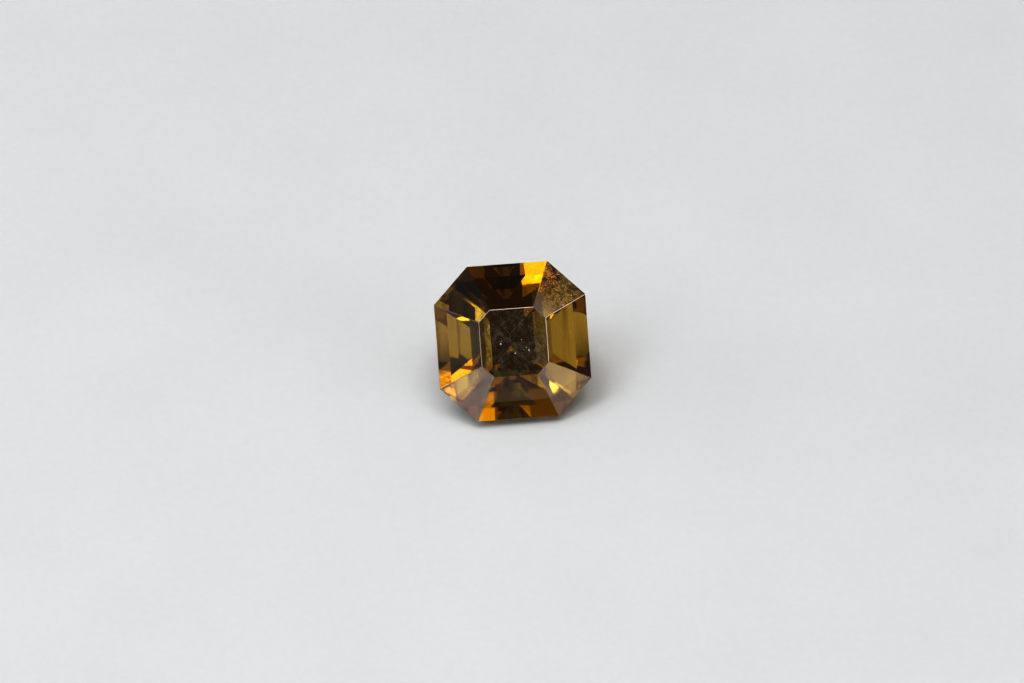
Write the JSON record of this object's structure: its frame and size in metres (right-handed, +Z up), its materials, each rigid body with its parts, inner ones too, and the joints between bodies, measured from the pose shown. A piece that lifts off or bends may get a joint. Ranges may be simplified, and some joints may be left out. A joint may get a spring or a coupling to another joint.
{
  "type": "tourmaline gemstone",
  "caption": "Loose golden-brown tourmaline in a square step cut with cut corners, lying on a lower facet with its table up.",
  "frame": {"origin": "middle of the stone's outline on the surface that it lies on", "axes": "+Z up, square to the resting facet; the table faces -Y and up; +X to the right seen from the front, square to a girdle side"},
  "size_m": [0.008, 0.0066, 0.0067],
  "materials": {
    "tourmaline": "clear golden-brown crystal, polished facets"
  },
  "bodies": {
    "root": {"tourmaline_gemstone": "tourmaline"}
  },
  "joints": []
}
